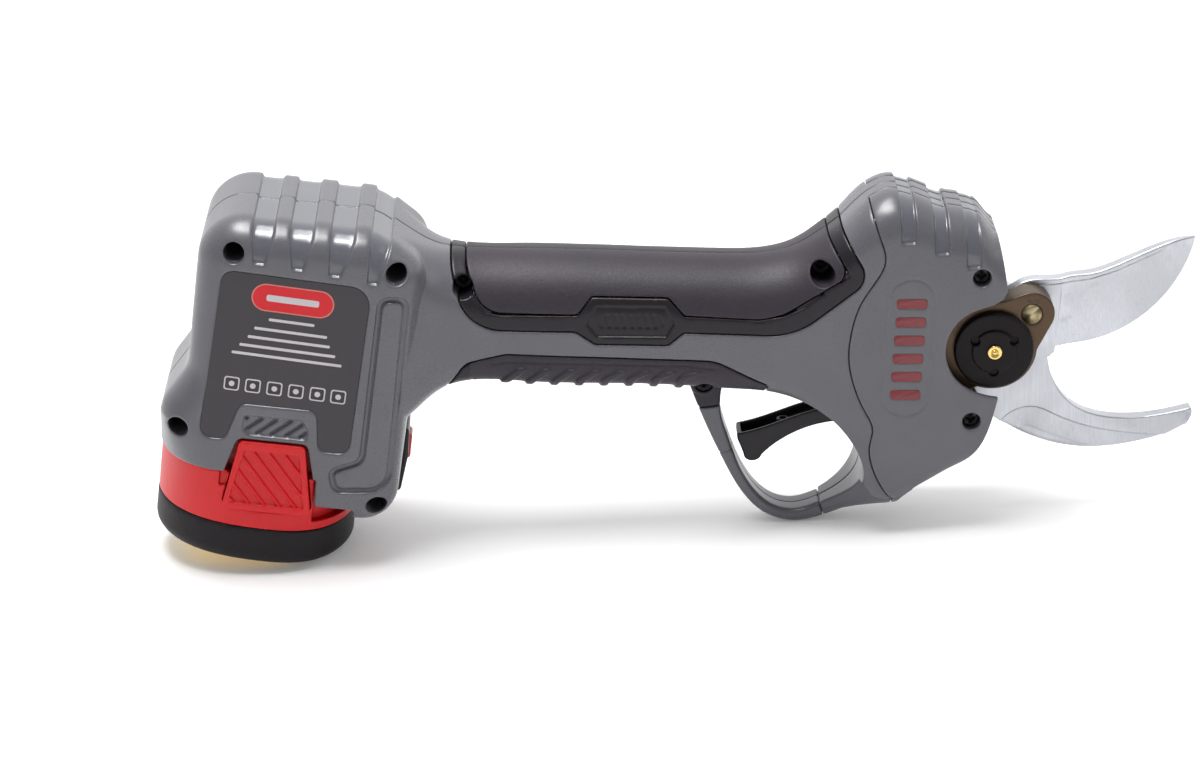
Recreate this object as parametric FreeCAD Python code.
import FreeCAD, Part
import math
import os

os.makedirs("parts", exist_ok=True)

# Battery electric pruner, in millimetres.
# Origin: pivot axis of the blades on the tool's middle plane. +X towards the blade tips, +Z up,
# the tool's right side faces -Y. The blades are drawn half open.

# ---- driving dimensions ---------------------------------------------------------------------
WALL = 2.2               # housing wall
SEAM = 0.12              # half of the gap between neighbouring skins
# battery block frame: s forwards, t upwards, leaning forwards
BLOCK_X = -215.0
BLOCK_LEAN = 9.0
BLOCK_HALF = 29.0
BLOCK_EDGE = 11.0
BLOCK_TOP = 54.0
MOUTH_T = -24.5          # plane where the battery meets the block
STERN_S, STERN_L = -13.0, 21.5   # the block's rounded lower rear end: where it starts, its length
FOOT_T = -39.0
FOOT_S = 14.0            # rear edge of the front foot
BASE_TOP_T = -42.3
BASE_BOTTOM_T = -54.2
HANDLE_HALF = 18.0
HEAD_HALF = 19.5
GUARD_HALF = 6.0
GUARD_SCREW = (-87.3, -8.9)      # x, z of the screw that holds the guard's lug
# drive line, from the pivot backwards
LINE_TILT = 6.5
LINE_Y = 1.0
DRIVE_R = 14.0
# bevel pair
BEVEL_MODULE = 1.05
PINION_TEETH = 10
SECTOR_TEETH = 40
BEVEL_INNER = 0.68       # inner end of the teeth as a share of the cone distance
BEVEL_PRESSURE = 25.0
# planetary stages
PLAN_MODULE = 0.5
SUN_TEETH = 12
PLANET_TEETH = 18
RING_TEETH = 48
PLAN_PRESSURE = 20.0
PLANET_PIN_R = 1.0
RING_Z0, RING_Z1 = 34.0, 61.0    # ends of the ring gear, backwards from the pivot
RUN = 0.05               # radial running clearance
# blade stack, along Y
NUT_FACE = -12.0
ARM_FRONT, ARM_BACK = -11.9, -3.1
BLADE_FRONT, BLADE_BACK = -3.05, 1.45
ANVIL_FRONT, ANVIL_BACK = 1.55, 6.15
PLATE_FRONT, PLATE_BACK = 7.6, 12.0
PIVOT_R = 5.0
PIN_X, PIN_Z, PIN_R = 11.6, 10.3, 3.0
# battery contents, in the block frame
CELL_R, CELL_L = 10.5, 70.0
CELL_S, CELL_Y, CELL_FOOT = (-12.2, 9.2), (-10.65, 10.65), -48.4
CONTACT_Y = (-14.0, -4.7, 4.7, 14.0)

V = FreeCAD.Vector


# ---- drawing helpers ------------------------------------------------------------------------
def rounded(points):
    """Closed wire in the XZ plane through (x, z) or (x, z, r) corners, r rounding the corner."""
    n = len(points)
    pts = [V(p[0], 0, p[1]) for p in points]
    radii = [p[2] if len(p) > 2 else 0.0 for p in points]
    ends = []
    for i in range(n):
        p, a, b = pts[i], pts[i - 1], pts[(i + 1) % n]
        if radii[i] <= 0:
            ends.append((p, None, p))
            continue
        ua, ub = (a - p).normalize(), (b - p).normalize()
        half = math.acos(max(-1, min(1, ua.dot(ub)))) / 2
        cut = radii[i] / math.tan(half)
        mid = (ua + ub).normalize()
        centre = p + mid * (radii[i] / math.sin(half))
        ends.append((p + ua * cut, centre - mid * radii[i], p + ub * cut))
    edges = []
    for i in range(n):
        start, arc_mid, stop = ends[i]
        if arc_mid is not None:
            edges.append(Part.Arc(start, arc_mid, stop).toShape())
        nxt = ends[(i + 1) % n][0]
        if stop.distanceToPoint(nxt) > 1e-6:
            edges.append(Part.makeLine(stop, nxt))
    return Part.Wire(edges)


def slab(wire, y0, y1):
    face = Part.Face(wire)
    face.translate(V(0, y0, 0))
    return face.extrude(V(0, y1 - y0, 0))


def grown(wire, d):
    return wire.makeOffset2D(d, 2) if abs(d) > 1e-9 else wire


def curve(points):
    c = Part.BSplineCurve()
    c.interpolate([V(x, 0, z) for x, z in points])
    return c.toShape()


def mixed(parts):
    """Closed wire from runs: ("c", points) is a smooth curve, ("l", points) straight lines."""
    edges, last, first = [], None, None
    for kind, pts in parts:
        run = ([last] if last else []) + list(pts)
        first = first or run[0]
        if kind == "c":
            edges.append(curve(run))
        else:
            edges += [Part.makeLine(V(a[0], 0, a[1]), V(b[0], 0, b[1])) for a, b in zip(run, run[1:])]
        last = run[-1]
    if math.dist(first, last) > 1e-6:
        edges.append(Part.makeLine(V(last[0], 0, last[1]), V(first[0], 0, first[1])))
    return Part.Wire(edges)


def loop(points, d=0.0):
    """Closed smooth wire through the points, moved outwards by d."""
    n, moved = len(points), []
    turn = sum(a[0] * b[1] - b[0] * a[1] for a, b in zip(points, points[1:] + points[:1]))
    for i in range(n):
        (ax, az), (bx, bz) = points[i - 1], points[(i + 1) % n]
        k = d * math.copysign(1, turn) / math.hypot(bx - ax, bz - az)
        moved.append(V(points[i][0] + (bz - az) * k, 0, points[i][1] - (bx - ax) * k))
    c = Part.BSplineCurve()
    c.interpolate(moved, PeriodicFlag=True)
    return Part.Wire([c.toShape()])


def capsule(a, b, r):
    """Closed wire around two points, r away from the line between them."""
    p, q = V(a[0], 0, a[1]), V(b[0], 0, b[1])
    u = (q - p).normalize()
    n = V(-u.z, 0, u.x) * r
    return Part.Wire([Part.makeLine(p + n, q + n), Part.Arc(q + n, q + u * r, q - n).toShape(),
                      Part.makeLine(q - n, p - n), Part.Arc(p - n, p - u * r, p + n).toShape()])


def rod(x, z, y0, y1, r):
    return Part.makeCylinder(r, y1 - y0, V(x, y0, z), V(0, 1, 0))


def cone(x, z, y0, r0, y1, r1):
    return Part.makeCone(r0, r1, y1 - y0, V(x, y0, z), V(0, 1, 0))


def deck(s0, s1, half, r0, r1, t0, t1):
    """Upright block with rounded corners: r0 at the rear corners, r1 at the front ones."""
    b = brick(s0, s1, -half, half, t0, t1)
    for r, x in ((r0, s0), (r1, s1)):
        if r:
            b = b.makeFillet(r, [e for e in b.Edges if abs(e.CenterOfMass.x - x) < 0.01
                                 and abs(abs(e.CenterOfMass.y) - half) < 0.01
                                 and abs(e.CenterOfMass.z - (t0 + t1) / 2) < 0.01])
    return b


def upright(shape):
    """Turns a slab drawn in the XZ plane so that it stands along Z."""
    s = shape.copy()
    s.rotate(V(0, 0, 0), V(1, 0, 0), 90)
    return s


def brick(x0, x1, y0, y1, z0, z1):
    return Part.makeBox(x1 - x0, y1 - y0, z1 - z0, V(x0, y0, z0))


def fuse(shapes):
    shapes = list(shapes)
    out = shapes[0].multiFuse(shapes[1:]) if len(shapes) > 1 else shapes[0]
    return out.removeSplitter()


def block(shape):
    """From the battery block's own frame to the tool's frame."""
    s = shape.copy()
    s.rotate(V(0, 0, 0), V(0, 1, 0), BLOCK_LEAN)
    s.translate(V(BLOCK_X, 0, 0))
    return s


def line(shape):
    """From the drive line's frame (Z backwards from the pivot) to the tool's frame."""
    s = shape.copy()
    s.rotate(V(0, 0, 0), V(0, 1, 0), LINE_TILT - 90)
    s.translate(V(0, LINE_Y, 0))
    return s


def tube(z0, z1, r, hole=0.0):
    s = Part.makeCylinder(r, z1 - z0, V(0, 0, z0))
    return s.cut(Part.makeCylinder(hole, z1 - z0 + 2, V(0, 0, z0 - 1))) if hole else s


def right(shape):
    return shape.common(brick(-400, 200, -60, -0.02, -150, 150))


def left(shape):
    return shape.common(brick(-400, 200, 0.02, 60, -150, 150))


def mirror(shape):
    return shape.mirror(V(0, 0, 0), V(0, 1, 0))


def save(name, shape):
    solids = [s for s in shape.Solids if s.Volume > 0.05]
    out = solids[0] if len(solids) == 1 else Part.makeCompound(solids)
    out.exportStep("parts/%s.step" % name)
    box = out.BoundBox
    print("%-20s solids %d valid %s faces %d x %.1f %.1f y %.1f %.1f z %.1f %.1f" % (
        name, len(solids), out.isValid(), len(out.Faces), box.XMin, box.XMax, box.YMin, box.YMax,
        box.ZMin, box.ZMax))
    return out


# ---- housing skin ---------------------------------------------------------------------------
def section(x, z0, z1, w, rt, rb, inset):
    """Rounded cross-section of the handle at station x."""
    z0, z1, w = z0 + inset, z1 - inset, w - inset
    rt, rb = min(rt - inset, w - 0.4), min(rb - inset, w - 0.4)
    k = math.sqrt(0.5)
    c = [V(x, -w, z0 + rb), V(x, -w, z1 - rt), V(x, -w + rt, z1), V(x, w - rt, z1),
         V(x, w, z1 - rt), V(x, w, z0 + rb), V(x, w - rb, z0), V(x, -w + rb, z0)]
    m = [V(x, -w + rt * (1 - k), z1 - rt * (1 - k)), V(x, w - rt * (1 - k), z1 - rt * (1 - k)),
         V(x, w - rb * (1 - k), z0 + rb * (1 - k)), V(x, -w + rb * (1 - k), z0 + rb * (1 - k))]
    return Part.Wire([
        Part.makeLine(c[0], c[1]), Part.Arc(c[1], m[0], c[2]).toShape(),
        Part.makeLine(c[2], c[3]), Part.Arc(c[3], m[1], c[4]).toShape(),
        Part.makeLine(c[4], c[5]), Part.Arc(c[5], m[2], c[6]).toShape(),
        Part.makeLine(c[6], c[7]), Part.Arc(c[7], m[3], c[0]).toShape()])


# station x, underside z, top z, half width, top rounding, bottom rounding
NECK = [(-188, -15, 50, 27.5, 12, 12), (-180, -13.5, 46.6, 26.0, 12, 11),
        (-172, -8.5, 41.2, 22.6, 14, 10), (-165, -4.4, 37.2, 19.4, 15.5, 9),
        (-157, -3.0, 35.7, HANDLE_HALF, 16.5, 8), (-140, -4.3, 34.5, HANDLE_HALF, 16.5, 8),
        (-118, -5.9, 33.0, HANDLE_HALF, 16.5, 8), (-97, -7.4, 31.3, HANDLE_HALF, 16.5, 8),
        (-80, -9.4, 30.1, HANDLE_HALF, 16.5, 8), (-68, -10.9, 29.9, 18.2, 16.5, 8),
        (-59, -14.0, 31.6, 18.6, 16, 7), (-51, -22.0, 36.0, 19.0, 15, 6),
        (-44, -34.0, 41.2, 19.3, 14, 5.5), (-37.5, -45.0, 47.2, HEAD_HALF, 13, 5),
        (-31, -46.0, 50.3, HEAD_HALF, 13, 5), (-22, -41.6, 48.2, HEAD_HALF, 13, 5),
        (-12, -36.0, 44.3, HEAD_HALF, 13, 5), (-3, -31.0, 40.8, HEAD_HALF, 13, 5),
        (6, -26.0, 37.0, HEAD_HALF, 13, 5)]


def neck(inset):
    rows = list(NECK)
    if inset:
        rows[-1] = (9,) + rows[-1][1:]
    return Part.makeLoft([section(*row, inset) for row in rows], True, False)


BLOCK_OUTLINE = [(-34.5, MOUTH_T), (-34.5, -7.5, 12), (-27.4, 4.5, 12), (-27.0, BLOCK_TOP, 14),
                 (25.0, BLOCK_TOP, 14), (40.5, 44.0, 10), (38.6, FOOT_T, 11), (FOOT_S, FOOT_T),
                 (FOOT_S, MOUTH_T)]


# level t, exponent of the superellipse, clearance around the block
STERN_LEVELS = [(70, 4.5, 1.2), (-8, 4.5, 1.2), (-26, 2.1, 0.15), (-70, 2.1, 0.15)]


def stern(inset):
    """Space that rounds the block's rear end: square high up, elliptical at the battery mouth."""
    wires = []
    for t, power, spare in STERN_LEVELS:
        long, wide, pts = STERN_L - inset + spare, BLOCK_HALF - inset + spare, []
        for i in range(-8, 9):
            a = math.radians(90 * i / 8)
            pts.append(V(STERN_S - long * math.cos(a) ** (2 / power),
                         math.copysign(wide * abs(math.sin(a)) ** (2 / power), a), t))
        bow = Part.BSplineCurve()
        bow.interpolate(pts)
        far = [V(70, wide, t), V(70, -wide, t)]
        wires.append(Part.Wire([bow.toShape(), Part.makeLine(pts[-1], far[0]), Part.makeLine(*far),
                                Part.makeLine(far[1], pts[0])]))
    return Part.makeLoft(wires, True, True)


def block_solid(inset):
    wire = grown(rounded(BLOCK_OUTLINE), -inset)
    half = BLOCK_HALF - inset
    body = slab(wire, -half, half)
    rims = []
    for e in body.Edges:
        c = e.CenterOfMass
        flat = abs(abs(c.y) - half) < 1e-6
        mouth = c.z < MOUTH_T + inset + 0.1 and c.x < FOOT_S + inset + 0.3
        bottom = c.z < FOOT_T + inset + 0.3 and c.x < 28
        if flat and not mouth and not bottom:
            rims.append(e)
    body = body.makeFillet(BLOCK_EDGE - inset, rims)
    if inset:
        # the cavity runs out through the mouth and the underside of the foot
        body = body.fuse(brick(-34.5 + inset, 25.8, -half, half, FOOT_T - 3, MOUTH_T + 8).common(
            slab(rounded([(-33, -60), (36.0, -60), (36.0, -20), (-31.5, -10, 6), (-33, -14)]),
                 -half, half)))
    return block(body.common(stern(inset)))


GUARD_OUTER = mixed([
    ("l", [(-92.4, -6.0), (-91.6, -10.5)]),
    ("c", [(-88.4, -20.0), (-82.4, -35.0), (-76.2, -47.2), (-70.0, -53.8), (-60.5, -56.9),
           (-51.0, -55.2), (-43.0, -52.6), (-34.0, -49.4), (-30.0, -45.5)]),
    ("l", [(-30.0, -6.0)])])
OPENING = [(-81.9, -12.5), (-82.2, -20.0), (-80.2, -28.5), (-77.0, -38.0), (-72.0, -46.8),
           (-67.0, -51.2), (-61.0, -52.8), (-54.8, -51.4), (-48.0, -48.0), (-42.6, -43.2),
           (-40.2, -37.0), (-41.4, -30.5), (-45.2, -23.5), (-51.0, -17.0), (-58.0, -13.0),
           (-66.0, -11.0), (-74.0, -10.0), (-79.6, -9.6)]

FRONT = mixed([
    ("l", [(-60, 70), (-60, -60), (-30, -60), (-30, -49)]),
    ("c", [(-25.9, -42.9), (-15.2, -37.6), (-7.4, -32.2), (-3.6, -26.5), (-0.6, -18.0), (1.0, -12.0)]),
    ("c", [(3.2, 4.0), (3.6, 19.4), (2.6, 29.0), (1.2, 39.0)]),
    ("l", [(1.2, 70)])])


def root_loft(inset):
    """Web that widens from the guard into the head."""
    rows = [(-56.0, -53.2, 6.0, 2.0, 1.6, 16), (-50.0, -51.2, 6.9, 2.9, 2.4, 24),
            (-43.5, -47.6, 9.6, 5.0, 3.5, 32), (-37.5, -43.0, 14.2, 8.6, 5.0, 38),
            (-31.0, -36.0, 18.8, 13.0, 6.0, 42)]
    wires = []
    for x, z, w, h, r, tilt in rows:
        w, h, r = w - inset, h - inset, max(r - inset, 0.3)
        wire = section(0, -h, h, w, r, r, 0)
        wire.rotate(V(0, 0, 0), V(0, 1, 0), -tilt)
        wire.translate(V(x, 0, z))
        wires.append(wire)
    return Part.makeLoft(wires, True, False)


HEAD_ROOM = slab(FRONT, -60, 60)
SKIRT = brick(-400, -60, -60, 60, -80, 80).fuse(HEAD_ROOM)
outer = fuse([block_solid(0), neck(0).common(SKIRT), root_loft(0).common(HEAD_ROOM)])
opening = slab(loop(OPENING), -40, 40)
outer = outer.cut(opening)
inner = fuse([block_solid(WALL), neck(WALL)])
room = slab(loop(OPENING, WALL), -40, 40)
inner = inner.cut(room)
front_wall = slab(rounded([(-4, 22), (12, 22), (12, 60), (-6, 60)]), -40, 40).cut(
    slab(rounded([(-20, 10), (1.2, 10), (0.6, 24), (-1.2, 60), (-20, 60)]), -50, 50))
inner = inner.cut(front_wall)
skin = outer.cut(inner)


# ---- skin details ---------------------------------------------------------------------------
def through(wire, y0=-40, y1=40):
    return slab(wire, y0, y1)


# shallow grooves over the top of the block that narrow down both sides:
# rear edge, front edge and the same two at the lower end (s), height of the lower end (t)
GROOVE_DEEP = 1.1
core = block_solid(GROOVE_DEEP).fuse(neck(GROOVE_DEEP))
GROOVES = [(-11.5, -5.0, -10.3, -6.8, 42.2), (-0.5, 6.5, 1.2, 4.5, 41.6),
           (11.4, 18.6, 12.0, 15.5, 40.8), (23.3, 29.4, 23.4, 26.6, 39.6)]
grooves = [block(through(rounded([(a, 62), (a, 51), (c, low, 0.7), (d, low, 0.7), (b, 51), (b, 62)])))
           for a, b, c, d, low in GROOVES]
# square grooves over the head (x, width, lower end)
HEAD_GROOVES = [(-27.9, 4.5, 37.0), (-18.0, 4.3, 33.3), (-8.6, 4.3, 28.6)]
grooves += [through(rounded([(x, 62), (x, low, 0.8), (x + w, low, 0.8), (x + w, 62)]))
            for x, w, low in HEAD_GROOVES]
skin = skin.cut(fuse(grooves).cut(core))

# nameplate recess, latch windows, vent recess and the raised rail beside the nameplate (s, t)
LABEL = [(-19.0, 39.3, 4), (24.8, 37.9, 6), (22.9, -15.0, 3.5), (13.8, -15.0, 2.5),
         (12.4, -2.0, 3), (-10.6, -2.0, 3), (-14.2, -13.9, 2.5), (-21.8, -13.9, 3.5)]
LATCH_WINDOW = [(-10.3, -13.4, 2), (10.5, -13.4, 2), (14.3, -30), (-15.2, -30)]
VENT = [(-9.0, -5.8, 1), (8.2, -5.6, 1.5), (10.3, -8.6, 1), (10.3, -12.0, 1), (-7.3, -12.0, 1.5),
        (-9.3, -10.2, 1)]
RAIL = [(28.7, 34.6, 2.4), (34.6, 34.4, 2.4), (34.8, -24.6, 5), (20.4, -26.2, 2),
        (19.2, -21.6, 1.5), (28.0, -17.6, 5)]
label_wire = rounded(LABEL)
cuts = [block(slab(grown(label_wire, 0.2), -30, -BLOCK_HALF + 0.9))]
vent_wire = rounded(VENT)
VENT_SLOTS, VENT_FIRST, VENT_PITCH = 6, -16.0, 4.3
vent_slots = [slab(rounded([(s, -13), (s + 1.3, -13), (s + 10.3, -5), (s + 9.0, -5)]), -29.5, -27.2)
              for s in [VENT_FIRST + VENT_PITCH * i for i in range(VENT_SLOTS)]]
cuts.append(block(slab(vent_wire, -30, -BLOCK_HALF + 0.8)))
cuts.append(block(fuse([c.common(slab(grown(vent_wire, -0.3), -30, -20)) for c in vent_slots])))
# the groove round the rail follows the block's rounded edge
RAIL_DEEP, RAIL_GROOVE = 0.75, 1.7
rail_ring = slab(grown(rounded(RAIL), RAIL_GROOVE), -30, -18).cut(slab(rounded(RAIL), -31, -17))
cuts.append(block(rail_ring).cut(block_solid(RAIL_DEEP)))
mirrored = [mirror(c) for c in cuts]
window = block(slab(rounded(LATCH_WINDOW), -40, 40))
skin = skin.cut(fuse(cuts + mirrored)).cut(window)

# windows around the pivot nut and bolt, open to the front
PIVOT_WINDOW = mixed([
    ("l", [(8, 20.2), (3.2, 20.2)]),
    ("c", [(1.2, 17.6), (-6.0, 15.0), (-11.6, 11.2), (-14.9, 4.4), (-14.6, -1.6), (-11.6, -7.4),
           (-6.2, -11.4), (0.2, -13.2)]),
    ("l", [(8, -13.2)])])
skin = skin.cut(slab(PIVOT_WINDOW, -40, -11).fuse(slab(PIVOT_WINDOW, 11, 40)))
# slot for the trigger and the opening for the control panel
skin = skin.cut(brick(-62, -36, -5.7, 5.7, -30, -7.6))
skin = skin.cut(block(brick(30, 42, -7.5, 7.5, -34, -14)))

# ---- screw bosses ---------------------------------------------------------------------------
BLOCK_BOSSES = [(-224.0, 46.6), (-177.1, 37.3), (-244.9, -7.8), (-187.7, -36.3)]
HANDLE_BOSSES = [(-158.2, 28.0), (-51.2, 27.7)]
HEAD_BOSSES = [(-4.1, 25.3), (-7.5, -20.5)]
BOSS_R, SHANK_R = 4.5, 1.45
BLOCK_SEAT, HANDLE_SEAT = -9.0, -6.0     # where the screw heads seat, along Y
bosses, holes, pilots = [], [], []
seats = [(b, BLOCK_SEAT, 3.1) for b in BLOCK_BOSSES]
seats += [(HANDLE_BOSSES[0], HANDLE_SEAT, 3.1), (HANDLE_BOSSES[1], HANDLE_SEAT, 3.6)]
for (x, z), seat, hole_r in seats:
    bosses.append(rod(x, z, -26, 26, max(BOSS_R, hole_r + 1.2)))
    holes.append(rod(x, z, -40, seat, hole_r))
    pilots.append(rod(x, z, -20, 14, SHANK_R))
for x, z in HEAD_BOSSES:
    bosses.append(rod(x, z, -17.5, 17.5, 3.2))
    bosses.append(rod(x, z, -17.5, -13, 4.2))
    holes.append(rod(x, z, -40, -14.5, 2.75))
    pilots.append(rod(x, z, -20, 14, SHANK_R))
boss_body = fuse(bosses).common(outer).cut(window)
boss_body = boss_body.cut(block(brick(-24.8, 21.8, -23.4, 23.4, -60, 31)))
skin = fuse([skin, boss_body]).cut(fuse(holes + pilots))


# ---- guard ----------------------------------------------------------------------------------
guard = slab(GUARD_OUTER, -GUARD_HALF, GUARD_HALF).cut(opening)
guard = guard.cut(neck(0.0).common(brick(-200, -60, -40, 40, -40, 60)))
sides = [e for e in guard.Edges if abs(abs(e.CenterOfMass.y) - GUARD_HALF) < 1e-6
         and e.CenterOfMass.z < -20 and e.Length > 20]
guard = guard.makeFillet(1.6, sides)
guard_zone = slab(rounded([(-97, -18.6), (-80.4, -17.2), (-60, -30), (-54.4, -45.0), (-50.9, -60),
                           (-97, -60)]), -20, 20)
guard_room = slab(rounded([(-97, -18.3), (-80.2, -16.9), (-60, -30), (-54.1, -45.0), (-50.6, -60),
                           (-97, -60)]), -20, 20)
lug_zone = slab(rounded([(-97, -18.3), (-80.4, -16.9), (-80.4, -6), (-97, -6)]), -20, 20)
root_zone = slab(rounded([(-54.1, -45.0), (-50.6, -60), (-20, -60), (-20, -30), (-50, -38)]),
                 -20, 20)
trigger_guard = guard.common(guard_zone).cut(brick(-100, -40, -0.12, 0.12, -57.2, -55.9))
guard_lug = guard.common(lug_zone).fuse(rod(*GUARD_SCREW, -7.6, 7.6, 4.3))
guard_root = guard.common(root_zone).cut(inner)

# ---- skins split into their separate mouldings ------------------------------------------------
TRIM = [(-161.8, 70), (-161.5, 33, 20), (-157.5, 15.4, 14), (-125.3, 13.4, 2), (-119.7, 9.2, 2),
        (-98.0, 7.8, 2), (-93.2, 11.6, 2), (-60.5, 9.0, 22), (-37.4, 26.2, 6), (-45.2, 40.4, 5),
        (-45.2, 70)]
PANEL = [(-157.3, 70), (-157.0, 33, 14), (-152.5, 20.7, 9), (-124.7, 18.8, 2), (-120.2, 23.9, 2),
         (-97.2, 22.3, 2), (-92.6, 16.9, 2), (-66.0, 14.2, 22), (-43.4, 27.8, 4), (-49.2, 37.5, 5),
         (-49.4, 70)]
LOWER = [(-168, -12), (-164.6, -3.5, 3), (-158.8, 4.6, 5), (-146.5, 6.9, 8), (-84.0, 1.8, 14),
         (-68.6, -7.0), (-70.0, -14), (-100, -14), (-100, -18), (-168, -18)]
trim_wire, panel_wire = rounded(TRIM), rounded(PANEL)
COVER_SEAM = [(-36.9, 52), (-35.9, 45), (-33.9, 38), (-32.8, 32), (-35.2, 26.5), (-39.9, 19.5),
              (-43.3, 9.5), (-44.2, 1), (-42.9, -7), (-39.8, -15.5), (-37.4, -22), (-38.4, -27),
              (-38.2, -32), (-35.9, -39), (-31.6, -46)]


def cover_outline(gap):
    """Everything in front of the seam between housing and head cover, less a gap."""
    seam = [(x + gap, z) for x, z in COVER_SEAM]
    return mixed([("l", [(seam[0][0], 70), seam[0]]), ("c", seam[1:]),
                  ("l", [(seam[-1][0], -60), (30, -60), (30, 70)])])


spine_strip = brick(-40, 20, -5.6, 5.6, 29.5, 80)
spine_gap = brick(-40, 20, -5.8, 5.8, 29.3, 80)
trim_zone = slab(trim_wire, -40, 40)
trim_room = slab(grown(trim_wire, 2 * SEAM), -40, 40)
panel_zone = slab(panel_wire, -40, 40)
panel_room = slab(grown(panel_wire, 2 * SEAM), -40, 40)
lower_zone = slab(rounded(LOWER), -40, 40)
lower_room = slab(grown(rounded(LOWER), 2 * SEAM), -40, 40)
cover_zone = slab(cover_outline(0.2), -40, 40).cut(spine_gap)
cover_room = slab(cover_outline(0), -40, 40).cut(spine_strip)

panel = skin.common(panel_zone)
trim = skin.common(trim_zone).cut(panel_room)
cover = skin.common(cover_zone)
badge = capsule((-25.0, 18.8), (-27.4, -10.4), 7.5)
frame_line = slab(badge, -HEAD_HALF - 1, -HEAD_HALF + 0.35).cut(slab(grown(badge, -0.7), -30, 0))
BAR_Z = [18.4, 12.6, 6.8, 1.0, -4.8, -10.6]
strips = []
for z in BAR_Z:
    x = -25.0 - (18.8 - z) * 0.082
    strips.append(slab(rounded([(x - 4.5, z - 1.5, 0.8), (x + 4.5, z - 1.9, 0.8), (x + 4.5, z + 1.1, 0.8),
                                (x - 4.5, z + 1.5, 0.8)]), -HEAD_HALF - 0.05, -HEAD_HALF + 0.3))
cover = cover.cut(frame_line).cut(mirror(frame_line)).cut(
    Part.makeCompound(strips + [mirror(m) for m in strips]))
lower = skin.common(lower_zone)
# finger ribs on both flanks of the lower grip
RIB_HIGH, RIB_PITCH, RIB_FALL = 0.85, 7.55, 0.075
flank = neck(-RIB_HIGH).cut(neck(0.0))
finger_ribs = []
for i in range(8):
    x, top = -146.0 + RIB_PITCH * i, 2.4 - RIB_FALL * RIB_PITCH * i
    finger_ribs.append(slab(rounded([(x - 4.4, -14), (x - 2.2, -14), (x - 0.2, -3.4, 4), (x + 5.6, top),
                                     (x + 3.0, top + 0.3), (x - 2.4, -2.2, 4)]), -40, 40))
lug = guard_lug.common(brick(-97, -80, -9, 9, -20, -3))
lower = fuse([lower, flank.common(fuse(finger_ribs)), lug])
lower = lower.cut(rod(*GUARD_SCREW, -8.6, -5.4, 2.9)).cut(rod(*GUARD_SCREW, -12, 12, 1.3))
housing = skin.cut(trim_room).cut(lower_room).cut(cover_room)
housing = fuse([housing, guard_root.cut(cover_room)]).cut(guard_room)
for name, body in (("housing", housing), ("head_cover", cover), ("grip_panel", panel),
                   ("grip_trim", trim)):
    save(name + "_right", right(body))
    save(name + "_left", left(body))
save("lower_grip", lower)
save("trigger_guard", trigger_guard)


# ---- outside plates -----------------------------------------------------------------------------
plate = block(slab(label_wire, -BLOCK_HALF + 0.4, -BLOCK_HALF + 0.9))
save("label_plate", plate)

save("head_badge_right", Part.makeCompound(strips))
save("head_badge_left", Part.makeCompound([mirror(s) for s in strips]))

# ---- power panel on the front of the block -------------------------------------------------------
console_wire = rounded([(30.0, -34.0), (39.6, -34.0, 1.2), (40.9, -22.0, 3), (40.4, -13.2, 1.2),
                        (30.0, -13.2)])
console = slab(console_wire, -8.6, 8.6).cut(brick(20, 36.4, -9, 9, -40, 0))
console = console.cut(brick(35, 42, -3.6, 3.6, -25.1, -17.0))
save("control_panel", block(console).cut(skin))
button = brick(37.2, 41.6, -3.5, 3.5, -25.0, -17.1)
button = button.makeFillet(0.8, [e for e in button.Edges if e.CenterOfMass.x > 41.5])
button = button.fuse(brick(34.6, 37.3, -1.0, 1.0, -22.0, -20.0))
save("power_button", block(button))
switch = brick(29.0, 33.0, -3.2, 3.2, -24.2, -17.8).fuse(brick(27.6, 29.0, -8.0, 8.0, -26.0, -12.0))
save("power_switch", block(switch))

# ---- drive line -----------------------------------------------------------------------------------
BR = BEVEL_MODULE * PINION_TEETH / 2, BEVEL_MODULE * SECTOR_TEETH / 2
PIN_ANGLE = math.atan(BR[0] / BR[1])
SEC_ANGLE = math.pi / 2 - PIN_ANGLE
CONE_R = math.hypot(*BR)


def inv(angle):
    return math.tan(angle) - angle


def involute_half(z, module, pressure, add, ded, thin, steps=3):
    """(radius, half angle of the tooth) from root to tip; thin is taken off each tooth's thickness."""
    rp = module * z / 2
    rb = rp * math.cos(math.radians(pressure))
    at_pitch = math.pi / (2 * z) - thin / (2 * rp)
    lo, hi = max(rb, rp - ded), rp + add
    out = []
    if rp - ded < rb:
        out.append((rp - ded, at_pitch + inv(math.radians(pressure))))
    for i in range(steps + 1):
        r = lo + (hi - lo) * i / steps
        a = math.acos(min(1.0, rb / r))
        out.append((r, at_pitch + inv(math.radians(pressure)) - inv(a)))
    return out


def back_cone(r_virtual, angle_virtual, delta):
    """A point of the equivalent spur gear carried onto the bevel gear's back cone."""
    w = CONE_R / math.cos(delta) - r_virtual * math.sin(delta)
    return r_virtual * math.cos(delta), angle_virtual / math.cos(delta), w


def solid_of(faces):
    shell = Part.makeShell([Part.Face(Part.makePolygon(f + [f[0]])) for f in faces])
    s = Part.makeSolid(shell)
    if s.Volume < 0:
        s.reverse()
    return s


def bevel_profile(z, delta, add, ded, thin):
    zv = z / math.cos(delta)
    half = involute_half(zv, BEVEL_MODULE, BEVEL_PRESSURE, add, ded, thin)
    return [back_cone(r, a, delta) for r, a in half]


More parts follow.
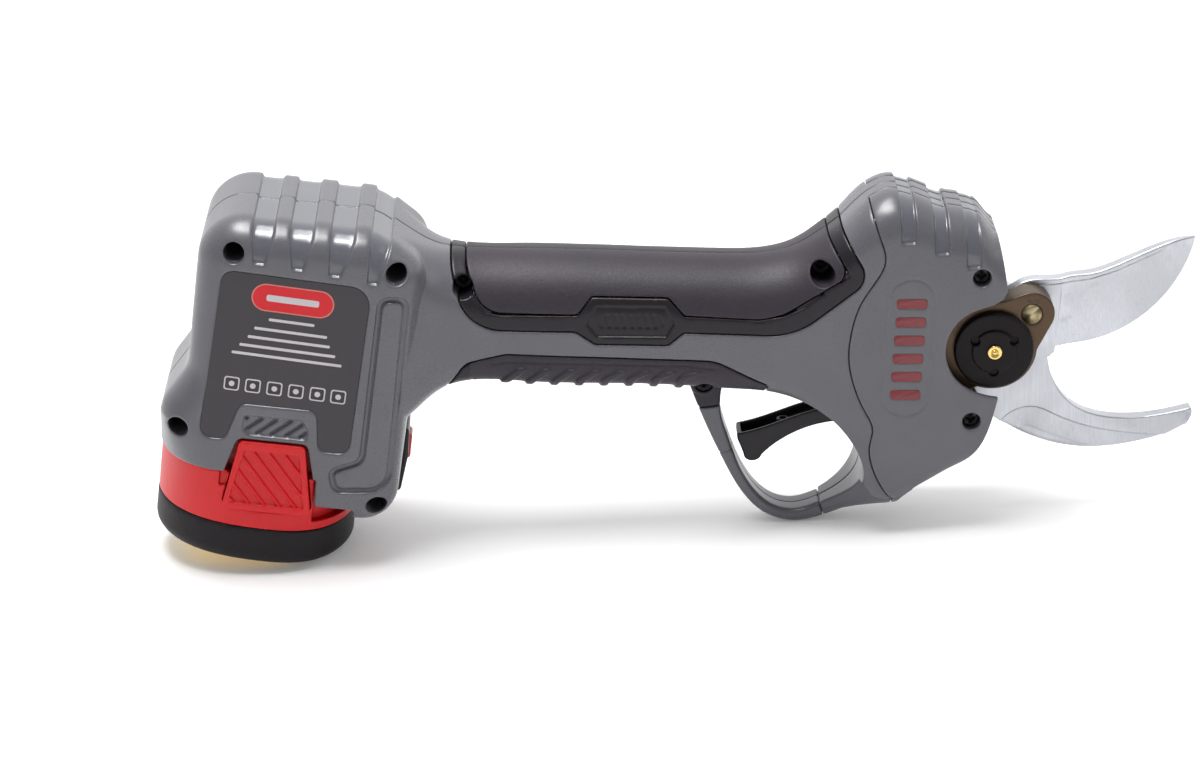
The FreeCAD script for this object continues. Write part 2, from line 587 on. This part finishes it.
# pinion: ten straight teeth, Z along the drive line, apex on the pivot axis
def pinion_solid():
    prof = bevel_profile(PINION_TEETH, PIN_ANGLE, 0.95, 1.05, 0.12)
    ring = []
    for k in range(PINION_TEETH):
        mid = math.radians(-72.0) + 2 * math.pi * k / PINION_TEETH
        for r, a, w in prof:
            ring.append((r, mid - a, w))
        for r, a, w in reversed(prof):
            ring.append((r, mid + a, w))
    top = [V(r * math.cos(a), r * math.sin(a), w) for r, a, w in ring]
    low = [p * BEVEL_INNER for p in top]
    n = len(top)
    faces = [[top[i], top[(i + 1) % n], low[(i + 1) % n], low[i]] for i in range(n)]
    back, front = V(0, 0, CONE_R / math.cos(PIN_ANGLE) + 0.4), V(0, 0, CONE_R * BEVEL_INNER - 0.6)
    faces += [[top[i], back, top[(i + 1) % n]] for i in range(n)]
    faces += [[low[i], low[(i + 1) % n], front] for i in range(n)]
    return solid_of(faces)


pinion = pinion_solid().fuse(tube(20.0, 25.2, 4.0)).cut(tube(10, 30, 2.5))
save("bevel_pinion", line(pinion))

# sector: teeth only where the pinion runs, faces towards +Y
mesh_dir = 180.0 - LINE_TILT
pitch_deg = 360.0 / SECTOR_TEETH
prof = bevel_profile(SECTOR_TEETH, SEC_ANGLE, 0.65, 1.25, 0.10)


def sector_point(r, ang, w):
    return V(r * math.cos(ang), LINE_Y - w, r * math.sin(ang))


def sector_tooth(mid):
    half = math.radians(pitch_deg / 2)
    r0, _, w0 = prof[0]
    chain = [(r0, mid - half, w0)] + [(r, mid - a, w) for r, a, w in prof]
    chain += [(r, mid + a, w) for r, a, w in reversed(prof)] + [(r0, mid + half, w0)]
    top = [sector_point(*p) for p in chain]
    apex = V(0, LINE_Y, 0)
    low = [apex + (p - apex) * BEVEL_INNER for p in top]

    def foot(p):
        return V(p.x, ARM_FRONT, p.z)
    a0, a1, b0, b1 = foot(top[0]), foot(top[-1]), foot(low[0]), foot(low[-1])
    ma, mb = (a0 + a1) * 0.5, (b0 + b1) * 0.5
    n = len(top)
    faces = [[top[i], top[i + 1], low[i + 1], low[i]] for i in range(n - 1)]
    faces += [[top[i + 1], top[i], ma] for i in range(n - 1)] + [[top[0], a0, ma], [a1, top[-1], ma]]
    faces += [[low[i], low[i + 1], mb] for i in range(n - 1)] + [[b0, low[0], mb], [low[-1], b1, mb]]
    faces += [[top[0], low[0], b0, a0], [low[-1], top[-1], a1, b1], [a0, b0, mb, b1, a1, ma]]
    return solid_of(faces)


teeth = [sector_tooth(math.radians(mesh_dir + pitch_deg * k)) for k in range(-1, 7)]
LUG_R, HUB_R, RIM_R = 6.9, 12.7, 13.2
web_top = ARM_FRONT + 6.0
link = slab(rounded([(9.6, 16.95), (3.6, 14.95, 6), (-9.5, 13.6), (-9.0, -8.9), (12.4, -2.6),
                     (17.95, 7.6)]), ARM_FRONT, ARM_BACK)
web = slab(rounded([(0, 14.3), (-13.6, 8.4), (-15.4, 3.0), (-15.6, -1.5), (-14.6, -6.8), (-12.2, -10.6),
                    (-8.6, -13.6), (2, -10)]), ARM_FRONT, web_top)
arm = fuse([rod(0, 0, ARM_FRONT, ARM_BACK, HUB_R), rod(0, 0, ARM_FRONT, ARM_FRONT + 3.5, RIM_R),
            rod(PIN_X, PIN_Z, ARM_FRONT, ARM_BACK, LUG_R),
            link, web] + teeth)
arm = arm.cut(rod(0, 0, -20, 0, PIVOT_R + RUN)).cut(rod(PIN_X, PIN_Z, -20, 0, PIN_R))
arm = arm.cut(rod(PIN_X, PIN_Z, -12, -11.6, PIN_R + 0.4))
save("sector_arm", arm)
save("drive_pin", rod(PIN_X, PIN_Z, ARM_FRONT + 0.15, BLADE_BACK - 0.1, PIN_R))

# ---- blades -----------------------------------------------------------------------------------------
heel = slab(mixed([
    ("l", [(-6, 10.9), (0, 12.6), (5.2, 14.7), (8.5, 16.7)]),
    ("c", [(11.8, 18.0), (18.1, 18.1), (22.0, 18.3)]),
    ("l", [(20.4, 1.5), (19.6, -5.9)]),
    ("c", [(18.7, -6.4), (18.2, -7.2)]),
    ("l", [(10.5, -7.2), (4, -11.8)])]), BLADE_FRONT, BLADE_BACK)
STATIONS = [((22.0, 18.3), (19.6, -5.9), -3.05), ((30.0, 19.3), (29.2, -4.3), -3.05),
            ((38.0, 21.6), (38.5, -1.6), -2.9), ((45.9, 24.8), (47.5, 3.8), -2.6),
            ((52.5, 27.2), (54.9, 11.4), -2.0), ((57.0, 28.3), (59.2, 18.4), -1.2),
            ((60.2, 28.6), (61.5, 24.0), -0.5), ((62.3, 28.65), (62.4, 28.0), 0.2)]
wires = []
for (sx, sz), (ex, ez), y in STATIONS:
    lip = V(sx + (ex - sx) * 0.08, y, sz + (ez - sz) * 0.08)
    wires.append(Part.makePolygon([V(sx, BLADE_BACK, sz), V(sx, y, sz), lip, V(ex, BLADE_BACK - 0.35, ez),
                                   V(ex, BLADE_BACK, ez), V(sx, BLADE_BACK, sz)]))
ground = Part.makeLoft(wires, True, False)
moving = fuse([rod(0, 0, BLADE_FRONT, BLADE_BACK, 12.5), heel, ground])
moving = moving.cut(rod(0, 0, -20, 20, PIVOT_R + RUN)).cut(rod(PIN_X, PIN_Z, -20, 20, PIN_R))
save("moving_blade", moving)

anvil = slab(mixed([
    ("l", [(-9, 10.7), (9, 10.7), (17.6, -3.0)]),
    ("c", [(18.0, -7.8), (18.9, -13.5), (22.0, -20.5), (28.2, -26.5), (37.4, -29.6), (49.8, -29.9),
           (61.0, -28.0)]),
    ("c", [(62.3, -28.0), (62.4, -30.4), (60.0, -33.4)]),
    ("c", [(49.9, -37.9), (39.0, -40.0), (28.3, -39.9), (15.9, -36.7), (3.6, -29.7)]),
    ("c", [(-2.0, -26.4), (-10.0, -25.0), (-19.0, -17.0)]),
    ("l", [(-20.5, -11.0), (-15.0, -6.0)])]), ANVIL_FRONT, ANVIL_BACK)
anvil = anvil.fuse(rod(0, 0, ANVIL_FRONT, ANVIL_BACK, 14.0))
hollow = slab(mixed([
    ("l", [(2.0, -32.0), (3.9, -29.2)]),
    ("c", [(6.7, -26.8), (10.0, -25.4), (14.0, -25.2), (20.5, -28.1), (29.8, -32.2), (43.7, -35.3),
           (54.0, -36.3)]),
    ("l", [(50.0, -45.0), (2.0, -45.0)])]), ANVIL_FRONT - 1, ANVIL_FRONT + 0.7)
ANVIL_SCREWS = [(-15.6, -12.4), (-4.9, -13.2)]
anvil = anvil.cut(hollow).cut(rod(0, 0, -20, 20, PIVOT_R + 0.01)).cut(rod(-7.5, -20.5, -20, 20, 3.7))
for x, z in ANVIL_SCREWS:
    sink = cone(x, z, ANVIL_FRONT - 0.01, 3.6, ANVIL_FRONT + 1.6, 2.0)
    anvil = anvil.cut(rod(x, z, -20, 20, 2.0)).cut(sink)
save("anvil_blade", anvil)

# ---- bracket, bolt and nut ---------------------------------------------------------------------------
bracket_plate = slab(mixed([
    ("l", [(-36, 17.5), (-20, 15.5), (-4, 13.94)]),
    ("l", [(12.0, -8.1), (5.8, -22.0), (2.5, -25.8), (-12, -25.6), (-21, -19), (-30, -8.5),
           (-36, -8.0)])]), PLATE_FRONT, PLATE_BACK).cut(line(tube(RING_Z0, 70.0, 40.0)))
nose = line(tube(24.8, 34.0, DRIVE_R)).common(brick(-60, 0, -20, PLATE_BACK, -40, 40))
pads = [rod(0, 0, ANVIL_BACK, PLATE_FRONT, 10.5)] + [rod(x, z, ANVIL_BACK, PLATE_FRONT, 3.6)
                                                     for x, z in ANVIL_SCREWS]
bracket = fuse([bracket_plate, rod(0, 0, PLATE_FRONT, PLATE_BACK, 14.5), nose] + pads)
bracket = bracket.cut(rod(0, 0, -20, 20, PIVOT_R + 0.01)).cut(line(tube(10, 40, 4.6)))
bracket = bracket.cut(line(tube(26.0, 34.5, 6.5))).cut(rod(-7.5, -20.5, -20, 20, 3.7))
for x, z in ANVIL_SCREWS:
    bracket = bracket.cut(rod(x, z, -20, 20, 1.7))
save("blade_bracket", bracket)
screws = []
for x, z in ANVIL_SCREWS:
    s = cone(x, z, ANVIL_FRONT, 3.55, ANVIL_FRONT + 1.55, 1.95)
    s = s.fuse(rod(x, z, ANVIL_FRONT + 1.5, ANVIL_BACK, 1.95))
    s = s.fuse(rod(x, z, ANVIL_BACK, PLATE_BACK, 1.68)).removeSplitter()
    screws.append(s.cut(rod(x, z, ANVIL_FRONT - 0.1, ANVIL_FRONT + 1.0, 1.2)))
save("anvil_screws", Part.makeCompound(screws))

BOLT_HEAD_R, BOLT_HEAD_H, SOCKET_R = 9.5, 3.4, 3.5
bolt = rod(0, 0, NUT_FACE - 1.4, PLATE_BACK + 0.1, PIVOT_R)
bolt = bolt.fuse(rod(0, 0, PLATE_BACK, PLATE_BACK + BOLT_HEAD_H, BOLT_HEAD_R))
bolt = bolt.makeFillet(1.2, [e for e in bolt.Edges if e.CenterOfMass.y > PLATE_BACK + BOLT_HEAD_H - 0.1])
corners = [math.radians(a) for a in range(0, 361, 60)]
hexagon = Part.Face(Part.makePolygon([V(SOCKET_R * math.cos(a), PLATE_BACK + BOLT_HEAD_H + 0.2,
                                        SOCKET_R * math.sin(a)) for a in corners]))
save("pivot_bolt", bolt.removeSplitter().cut(hexagon.extrude(V(0, -2.4, 0))))

FLANGE_R, DISC_R = 12.0, 6.7
nut = rod(0, 0, NUT_FACE - 2.4, NUT_FACE, FLANGE_R)
nut = nut.makeFillet(0.7, [e for e in nut.Edges if e.CenterOfMass.y < NUT_FACE - 2.3])
nut = nut.fuse(rod(0, 0, NUT_FACE - 3.1, NUT_FACE - 2.3, DISC_R))
nut = nut.makeFillet(0.3, [e for e in nut.Edges if e.CenterOfMass.y < NUT_FACE - 3.05])
for deg in (148, 28, 268):
    nx, nz = DISC_R * math.cos(math.radians(deg)), DISC_R * math.sin(math.radians(deg))
    nut = nut.cut(rod(nx, nz, NUT_FACE - 4, NUT_FACE - 1.5, 1.35))
nut = nut.cut(rod(0, 0, NUT_FACE - 1.42, NUT_FACE + 1, PIVOT_R + 0.01)).cut(rod(0, 0, -20, -10, 1.6))
save("pivot_nut", nut)
fitting = rod(0, 0, NUT_FACE - 3.1, NUT_FACE - 1.4, 1.58)
fitting = fitting.fuse(rod(0, 0, NUT_FACE - 3.9, NUT_FACE - 3.1, 2.2))
fitting = fitting.makeFillet(0.35, [e for e in fitting.Edges if e.CenterOfMass.y < NUT_FACE - 3.85])
fitting = fitting.removeSplitter().cut(rod(0, 0, -20, NUT_FACE - 3.0, 1.0))
ball = Part.makeSphere(0.95, V(0, NUT_FACE - 3.3, 0)).common(rod(0, 0, -20, NUT_FACE - 3.0, 0.97))
save("grease_fitting", Part.makeCompound([fitting, ball]))

bearing = tube(26.0, 31.0, 6.5, 3.05)
bearing = bearing.cut(tube(25.9, 26.4, 5.4, 4.1)).cut(tube(30.6, 31.1, 5.4, 4.1))
save("shaft_bearing", line(bearing))


# ---- planetary stages --------------------------------------------------------------------------------
def spur(z, z0, z1, phase, internal=False):
    """Straight spur gear with flat flanks; internal gives the hole of a ring gear."""
    m = PLAN_MODULE
    if internal:
        half = involute_half(z, m, PLAN_PRESSURE, 0.60, 0.44, -0.05)
    else:
        half = involute_half(z, m, PLAN_PRESSURE, 0.44, 0.60, 0.05)
    pts = []
    shift = math.pi / z if internal else 0.0
    for k in range(z):
        mid = math.radians(phase) + 2 * math.pi * k / z + shift
        for r, a in half:
            pts.append(V(r * math.cos(mid - a), r * math.sin(mid - a), z0))
        for r, a in reversed(half):
            pts.append(V(r * math.cos(mid + a), r * math.sin(mid + a), z0))
    return Part.Face(Part.makePolygon(pts + [pts[0]])).extrude(V(0, 0, z1 - z0))


ring = tube(RING_Z0, RING_Z1, DRIVE_R).cut(spur(RING_TEETH, RING_Z0 - 1, RING_Z1 + 1, 0.0, True))
save("ring_gear", line(ring))
ORBIT = PLAN_MODULE * (SUN_TEETH + PLANET_TEETH) / 2


def carrier(z0, z1, pin_end):
    c = tube(z0, z1, 9.8)
    for k in range(3):
        a = math.radians(120 * k)
        c = c.fuse(Part.makeCylinder(PLANET_PIN_R, pin_end - z1 + 0.5,
                                     V(ORBIT * math.cos(a), ORBIT * math.sin(a), z1 - 0.5)))
    return c


OUT_Z = (35.4, 37.6, 45.6)       # output carrier plate and pin end
IN_Z = (47.0, 49.0, 56.6)        # first carrier plate and pin end
out_carrier = carrier(*OUT_Z).fuse(tube(25.2, 36.0, 3.0))
out_carrier = out_carrier.fuse(tube(15.4, 25.3, 2.5)).fuse(tube(31.2, 35.4, 5.0))
save("output_carrier", line(out_carrier.removeSplitter()))
first = carrier(*IN_Z).fuse(spur(SUN_TEETH, 38.0, 47.2, 0.0))
save("first_carrier", line(first))
for label, z0, z1 in (("out", 37.8, 45.4), ("in", 49.2, 56.4)):
    for k, letter in enumerate("abc"):
        a = math.radians(120 * k)
        p = spur(PLANET_TEETH, z0, z1, 10.0).cut(tube(z0 - 1, z1 + 1, PLANET_PIN_R + RUN))
        p.translate(V(ORBIT * math.cos(a), ORBIT * math.sin(a), 0))
        save("planet_%s_%s" % (label, letter), line(p))

# ---- motor -------------------------------------------------------------------------------------------
CAN_Z0, CAN_Z1 = 61.0, 119.0
can = tube(CAN_Z0, CAN_Z1, DRIVE_R, 12.9).fuse(tube(CAN_Z0, CAN_Z0 + 2.5, DRIVE_R - 0.5, 3.0))
can = can.fuse(tube(CAN_Z1 - 3.0, CAN_Z1, DRIVE_R - 0.5, 2.05)).removeSplitter()
can = can.cut(tube(CAN_Z0 - 1, CAN_Z0 + 3, 2.55))
for k in range(4):
    air_slot = Part.makeBox(6.0, 30.0, 2.6, V(-3.0, 8.0, CAN_Z1 - 12.0))
    air_slot.rotate(V(0, 0, 0), V(0, 0, 1), 90 * k + 45)
    can = can.cut(air_slot)
for deg in (0, 120, 240):
    x, y = 10.4 * math.cos(math.radians(deg)), 10.4 * math.sin(math.radians(deg))
    can = can.cut(Part.makeCylinder(1.1, 2.0, V(x, y, CAN_Z1 - 1.5)))
save("motor_can", line(can))
stator = tube(68.0, 112.0, 12.85, 8.4)
winding_slots = []
for k in range(6):
    s = Part.makeBox(3.6, 2.4, 60.0, V(9.2, -1.2, 60.0))
    s = s.fuse(Part.makeBox(3.0, 0.8, 60.0, V(7.4, -0.4, 60.0)))
    s.rotate(V(0, 0, 0), V(0, 0, 1), 60 * k + 30)
    winding_slots.append(s)
stator = stator.cut(fuse(winding_slots).common(tube(67.0, 113.0, 12.0)))
save("motor_stator", line(stator))
rotor = tube(70.0, 110.0, 7.9).fuse(tube(57.0, 117.5, 2.0)).fuse(tube(64.0, 115.5, 2.9))
rotor = rotor.removeSplitter().fuse(spur(SUN_TEETH, 49.4, 57.2, 0.0))
save("rotor", line(rotor))

# ---- screws ------------------------------------------------------------------------------------------
def screw(x, z, y_head, length, head_r, head_h, r=1.4):
    s = rod(x, z, y_head, y_head + head_h, head_r)
    s = s.fuse(rod(x, z, y_head + head_h - 0.1, y_head + length, r))
    s = s.makeFillet(0.5, [e for e in s.Edges if abs(e.CenterOfMass.y - y_head) < 1e-6])
    cross = brick(x - 1.5, x + 1.5, y_head - 1, y_head + 1.2, z - 0.35, z + 0.35).fuse(
        brick(x - 0.35, x + 0.35, y_head - 1, y_head + 1.2, z - 1.5, z + 1.5))
    return s.removeSplitter().cut(cross)


HEAD_H, SCREW_TIP = 2.4, 13.6
save("housing_screws", Part.makeCompound(
    [screw(x, z, seat - HEAD_H, SCREW_TIP - seat + HEAD_H, 2.8, HEAD_H)
     for bosses_at, seat in ((BLOCK_BOSSES, BLOCK_SEAT), (HANDLE_BOSSES, HANDLE_SEAT))
     for x, z in bosses_at]))
save("cover_screws", Part.makeCompound([screw(x, z, -16.7, 30.0, 2.5, 2.2) for x, z in HEAD_BOSSES]))
save("guard_screw", screw(*GUARD_SCREW, -7.4, 13.0, 2.7, 2.0, 1.28))

# ---- trigger -----------------------------------------------------------------------------------------
TRIG_X, TRIG_Z = -36.0, -18.5
TRIG_PIN_R = 1.5
side = mixed([
    ("l", [(-77.6, -28.9), (-77.5, -27.2)]),
    ("c", [(-69.0, -25.3), (-58.3, -21.8), (-50.0, -19.9), (-43.0, -19.3)]),
    ("l", [(-38.0, -15.2), (-33.0, -15.2), (-28.0, -18.6), (-26.5, -21.6), (-34.0, -22.4)]),
    ("c", [(-43.6, -24.4), (-49.1, -24.8), (-55.3, -26.0), (-61.4, -28.4), (-66.1, -31.2),
           (-70.2, -34.7)]),
    ("c", [(-72.0, -36.4), (-74.4, -36.3), (-75.8, -34.0)])])
trigger = slab(side, -4.9, 4.9)
pocket = slab(mixed([
    ("l", [(-76.2, -29.0), (-76.0, -20.0), (-44.0, -12.0), (-44.0, -21.6)]),
    ("c", [(-49.1, -22.4), (-57.0, -24.4), (-66.0, -28.0), (-72.5, -32.5)]),
    ("l", [(-74.6, -32.5)])]), -3.6, 3.6)
trigger = trigger.cut(pocket)
long_edges = [e for e in trigger.Edges if abs(abs(e.CenterOfMass.y) - 4.9) < 1e-6
              and e.CenterOfMass.z < -24.5 and e.CenterOfMass.x < -45]
trigger = trigger.makeFillet(0.9, long_edges)
front_post = tube(0, 10.0, 2.0, 1.0)
front_post.translate(V(-63.2, 0, -33.0))
rear_post = tube(0, 5.0, 1.9, 0.8)
rear_post.translate(V(-48.8, 0, -24.0))
front_post = front_post.common(slab(side, -4.9, 4.9)).common(brick(-70, -60, -5, 5, -30, -24.4))
trigger = trigger.fuse(front_post).fuse(rear_post.common(slab(side, -4.9, 4.9)))
trigger = trigger.cut(rod(TRIG_X, TRIG_Z, -10, 10, TRIG_PIN_R + RUN))
trigger = trigger.cut(brick(-30.2, -27.6, -2, 2, -23, -20.6)).removeSplitter()
magnet = brick(-30.2, -27.6, -2, 2, -22.6, -20.6)
save("trigger", trigger)
magnet = magnet.common(slab(side, -4.9, 4.9)).common(brick(-31, -27, -3, 3, -22.1, -20))
save("trigger_magnet", magnet)
save("trigger_pin", rod(TRIG_X, TRIG_Z, -15.9, 15.9, TRIG_PIN_R))
hall = brick(-34.0, -16.0, -6.0, 6.0, -33.2, -32.0).fuse(brick(-30.4, -27.4, -1.6, 1.6, -32.0, -31.0))
save("hall_board", hall)
SPRING_Z0, SPRING_Z1 = -31.9, -22.45


def cable(points, r):
    """Round rod along a smooth curve."""
    path = Part.BSplineCurve()
    path.interpolate([V(*p) for p in points])
    start, tangent = path.value(path.FirstParameter), path.tangent(path.FirstParameter)[0]
    circle = Part.Wire([Part.makeCircle(r, start, tangent)])
    return Part.Wire([path.toShape()]).makePipeShell([circle], True, True)


def coil(radius, wire_r, turns, height, x, y, z):
    steps = int(turns * 8)
    return cable([(x + radius * math.cos(i * math.pi / 4), y + radius * math.sin(i * math.pi / 4),
                   z + wire_r + (height - 2 * wire_r) * i / steps) for i in range(steps + 1)], wire_r)


save("trigger_spring", coil(1.3, 0.22, 5.5, SPRING_Z1 - SPRING_Z0 - 0.5, -32.6, -3.2,
                            SPRING_Z0 + 0.25))

# ---- battery -----------------------------------------------------------------------------------------
CASE_TOP = MOUTH_T - 0.2
# half of the oval plan (s, y) where the red case meets the housing, and where it meets the base
PLAN_TOP = [(-34.2, 0), (-32.2, 11.4), (-27.6, 20.4), (-21.7, 25.6), (-12.0, 28.6), (-1.0, 28.9),
            (9.0, 28.7), (16.5, 26.4), (22.6, 20.4), (26.2, 10.4), (27.2, 0)]
PLAN_LOW = [(-34.2, 0), (-32.2, 9.6), (-27.0, 18.2), (-20.6, 23.5), (-10.8, 27.3), (-1.0, 28.5),
            (8.7, 27.7), (15.0, 24.9), (20.4, 19.3), (24.8, 10.2), (26.4, 0)]


def oval(half, d, t):
    both = half + [(s, -y) for s, y in half[-2:0:-1]]
    wire = upright(loop(both, d))
    wire.translate(V(0, 0, t))
    return wire


def oval_deck(half, d, t0, t1):
    return Part.Face(oval(half, d, t0)).extrude(V(0, 0, t1 - t0))


def case_body(d):
    return Part.makeLoft([oval(PLAN_LOW, d, BASE_TOP_T), oval(PLAN_TOP, d, CASE_TOP)], True, True)


foot_band = case_body(-2.6).common(brick(-40, 25.3, -26.3, 26.3, -60, 0))
side_band = case_body(0).common(brick(-40, FOOT_S - 0.3, -40, 40, -60, 0))
low_band = case_body(0).common(brick(-40, 40, -40, 40, -60, FOOT_T - 0.4))
case = fuse([foot_band, side_band, low_band])
case = case.cut(oval_deck(PLAN_LOW, -4.5, BASE_TOP_T - 1, CASE_TOP - 1.6).common(
    brick(-40, 40, -21.5, 21.5, -60, 0)))
# room for the cells: square up in the tower, rounded off inside the oval case
ROOM_IN = -3.4
cell_room = deck(-22.8, 19.8, 21.4, 4.0, 4.0, -60, CASE_TOP + 0.1)
cell_room = cell_room.common(oval_deck(PLAN_LOW, ROOM_IN, -60, CASE_TOP + 0.1))
tower = deck(-24.0, 21.0, 22.6, 5.0, 5.0, CASE_TOP - 2, 29.0).cut(
    deck(-22.8, 19.8, 21.4, 4.0, 4.0, -60, 27.8))
case = fuse([case.cut(cell_room), tower])
latch_wire = rounded([(-9.7, -13.9, 1.6), (9.9, -13.9, 1.6), (13.3, -36.2, 2.2), (-13.5, -36.2, 2.2)])
for side_cut in (slab(grown(latch_wire, 0.25), -32, -23.7), brick(-14.8, -12.6, -32, -26.8, -29.4, -20)):
    case = case.cut(side_cut).cut(mirror(side_cut))
for y in CONTACT_Y:
    case = case.cut(brick(-6.0, 6.0, y - 1.0, y + 1.0, 27, 30))
save("battery_case", block(case))

base = oval_deck(PLAN_LOW, 0.15, BASE_BOTTOM_T, BASE_TOP_T)
base = base.makeFillet(4.0, [e for e in base.Edges if abs(e.CenterOfMass.z - BASE_BOTTOM_T) < 1e-6])
base = base.cut(oval_deck(PLAN_LOW, -2.0, -51.0, -40.0))
LABEL_IN, LABEL_DEEP = -7.0, 0.35
base = base.cut(oval_deck(PLAN_LOW, LABEL_IN, BASE_BOTTOM_T - 1, BASE_BOTTOM_T + LABEL_DEEP))
save("battery_base", block(base))
save("base_label", block(oval_deck(PLAN_LOW, LABEL_IN - 0.1, BASE_BOTTOM_T + 0.05,
                                   BASE_BOTTOM_T + LABEL_DEEP)))
cells = [Part.makeCylinder(CELL_R, CELL_L, V(s, y, CELL_FOOT)) for s in CELL_S for y in CELL_Y]
save("battery_cells", block(Part.makeCompound(cells)))
cell_head = CELL_FOOT + CELL_L
links = [brick(-16.0, 13.0, y - 4.0, y + 4.0, cell_head, cell_head + 0.3) for y in CELL_Y]
links += [brick(s - 4.0, s + 4.0, -14.5, 14.5, CELL_FOOT - 0.3, CELL_FOOT) for s in CELL_S]
save("cell_links", block(Part.makeCompound(links)))
board = brick(-20.0, 17.0, -19.0, 19.0, 23.2, 24.6)
chips = [brick(-17.0, -9.0, y - 3, y + 3, 24.6, 26.2) for y in (-12, 0, 12)]
chips.append(brick(9.0, 15.0, -8.0, 8.0, 24.6, 26.4))
sockets = []
for y in CONTACT_Y:
    clip = brick(-5.0, 5.0, y - 0.95, y + 0.95, 24.6, 27.7)
    sockets.append(clip.cut(brick(-6, 6, y - 0.45, y + 0.45, 25.2, 28)))
save("battery_board", block(fuse([board] + chips + sockets)))
latch = slab(latch_wire, -BLOCK_HALF - 0.7, -26.2)
LATCH_FIELD = [(-8.0, -16.6, 0.8), (8.3, -16.6, 0.8), (11.2, -34.0, 0.8), (-11.6, -34.0, 0.8)]
field = slab(rounded(LATCH_FIELD), -32, -BLOCK_HALF + 0.3)
bars = [slab(rounded([(s, -10), (s + 1.0, -10), (s + 26.0, -40), (s + 25.0, -40)]),
             -BLOCK_HALF - 0.4, -25.0) for s in [-30.6 + 4.7 * i for i in range(8)]]
latch = latch.cut(field.cut(fuse(bars)))
save("latch_right", block(latch))
save("latch_left", block(mirror(latch)))

# ---- electronics in the block ----------------------------------------------------------------------
terminal = brick(-9.0, 9.0, -18.0, 18.0, 31.0, 38.0)
for y in CONTACT_Y:
    terminal = terminal.cut(brick(-4.2, 4.2, y - 0.4, y + 0.4, 30, 40))
save("terminal_block", block(terminal))
save("terminal_blades", block(Part.makeCompound(
    [brick(-4.2, 4.2, y - 0.38, y + 0.38, 26.4, 39.6) for y in CONTACT_Y])))
main = brick(-9.0, 26.0, -21.0, 21.0, 40.4, 42.0)
drivers = [brick(s, s + 6.0, y, y + 5.0, 42.0, 43.8)
           for s in (10.0, 18.0) for y in (-18.0, -9.0, 4.0, 13.0)]
save("control_board", block(fuse([main] + drivers)))
caps = [Part.makeCylinder(4.0, 7.6, V(1.5, y, 42.0)) for y in (-12.0, 12.0)]
save("capacitor", block(Part.makeCompound(caps)))

leads = []
for y in (-4.5, 1.0, 6.5):
    leads.append(cable([(-187.5, y, 34.7), (-172.0, y, 24.0), (-158.0, y * 0.9, 18.5),
                        (-140.0, y * 0.8 + 0.2, 16.5), (-122.2, y * 0.8 + 0.2, 15.2)], 1.25))
save("wiring", Part.makeCompound(leads))
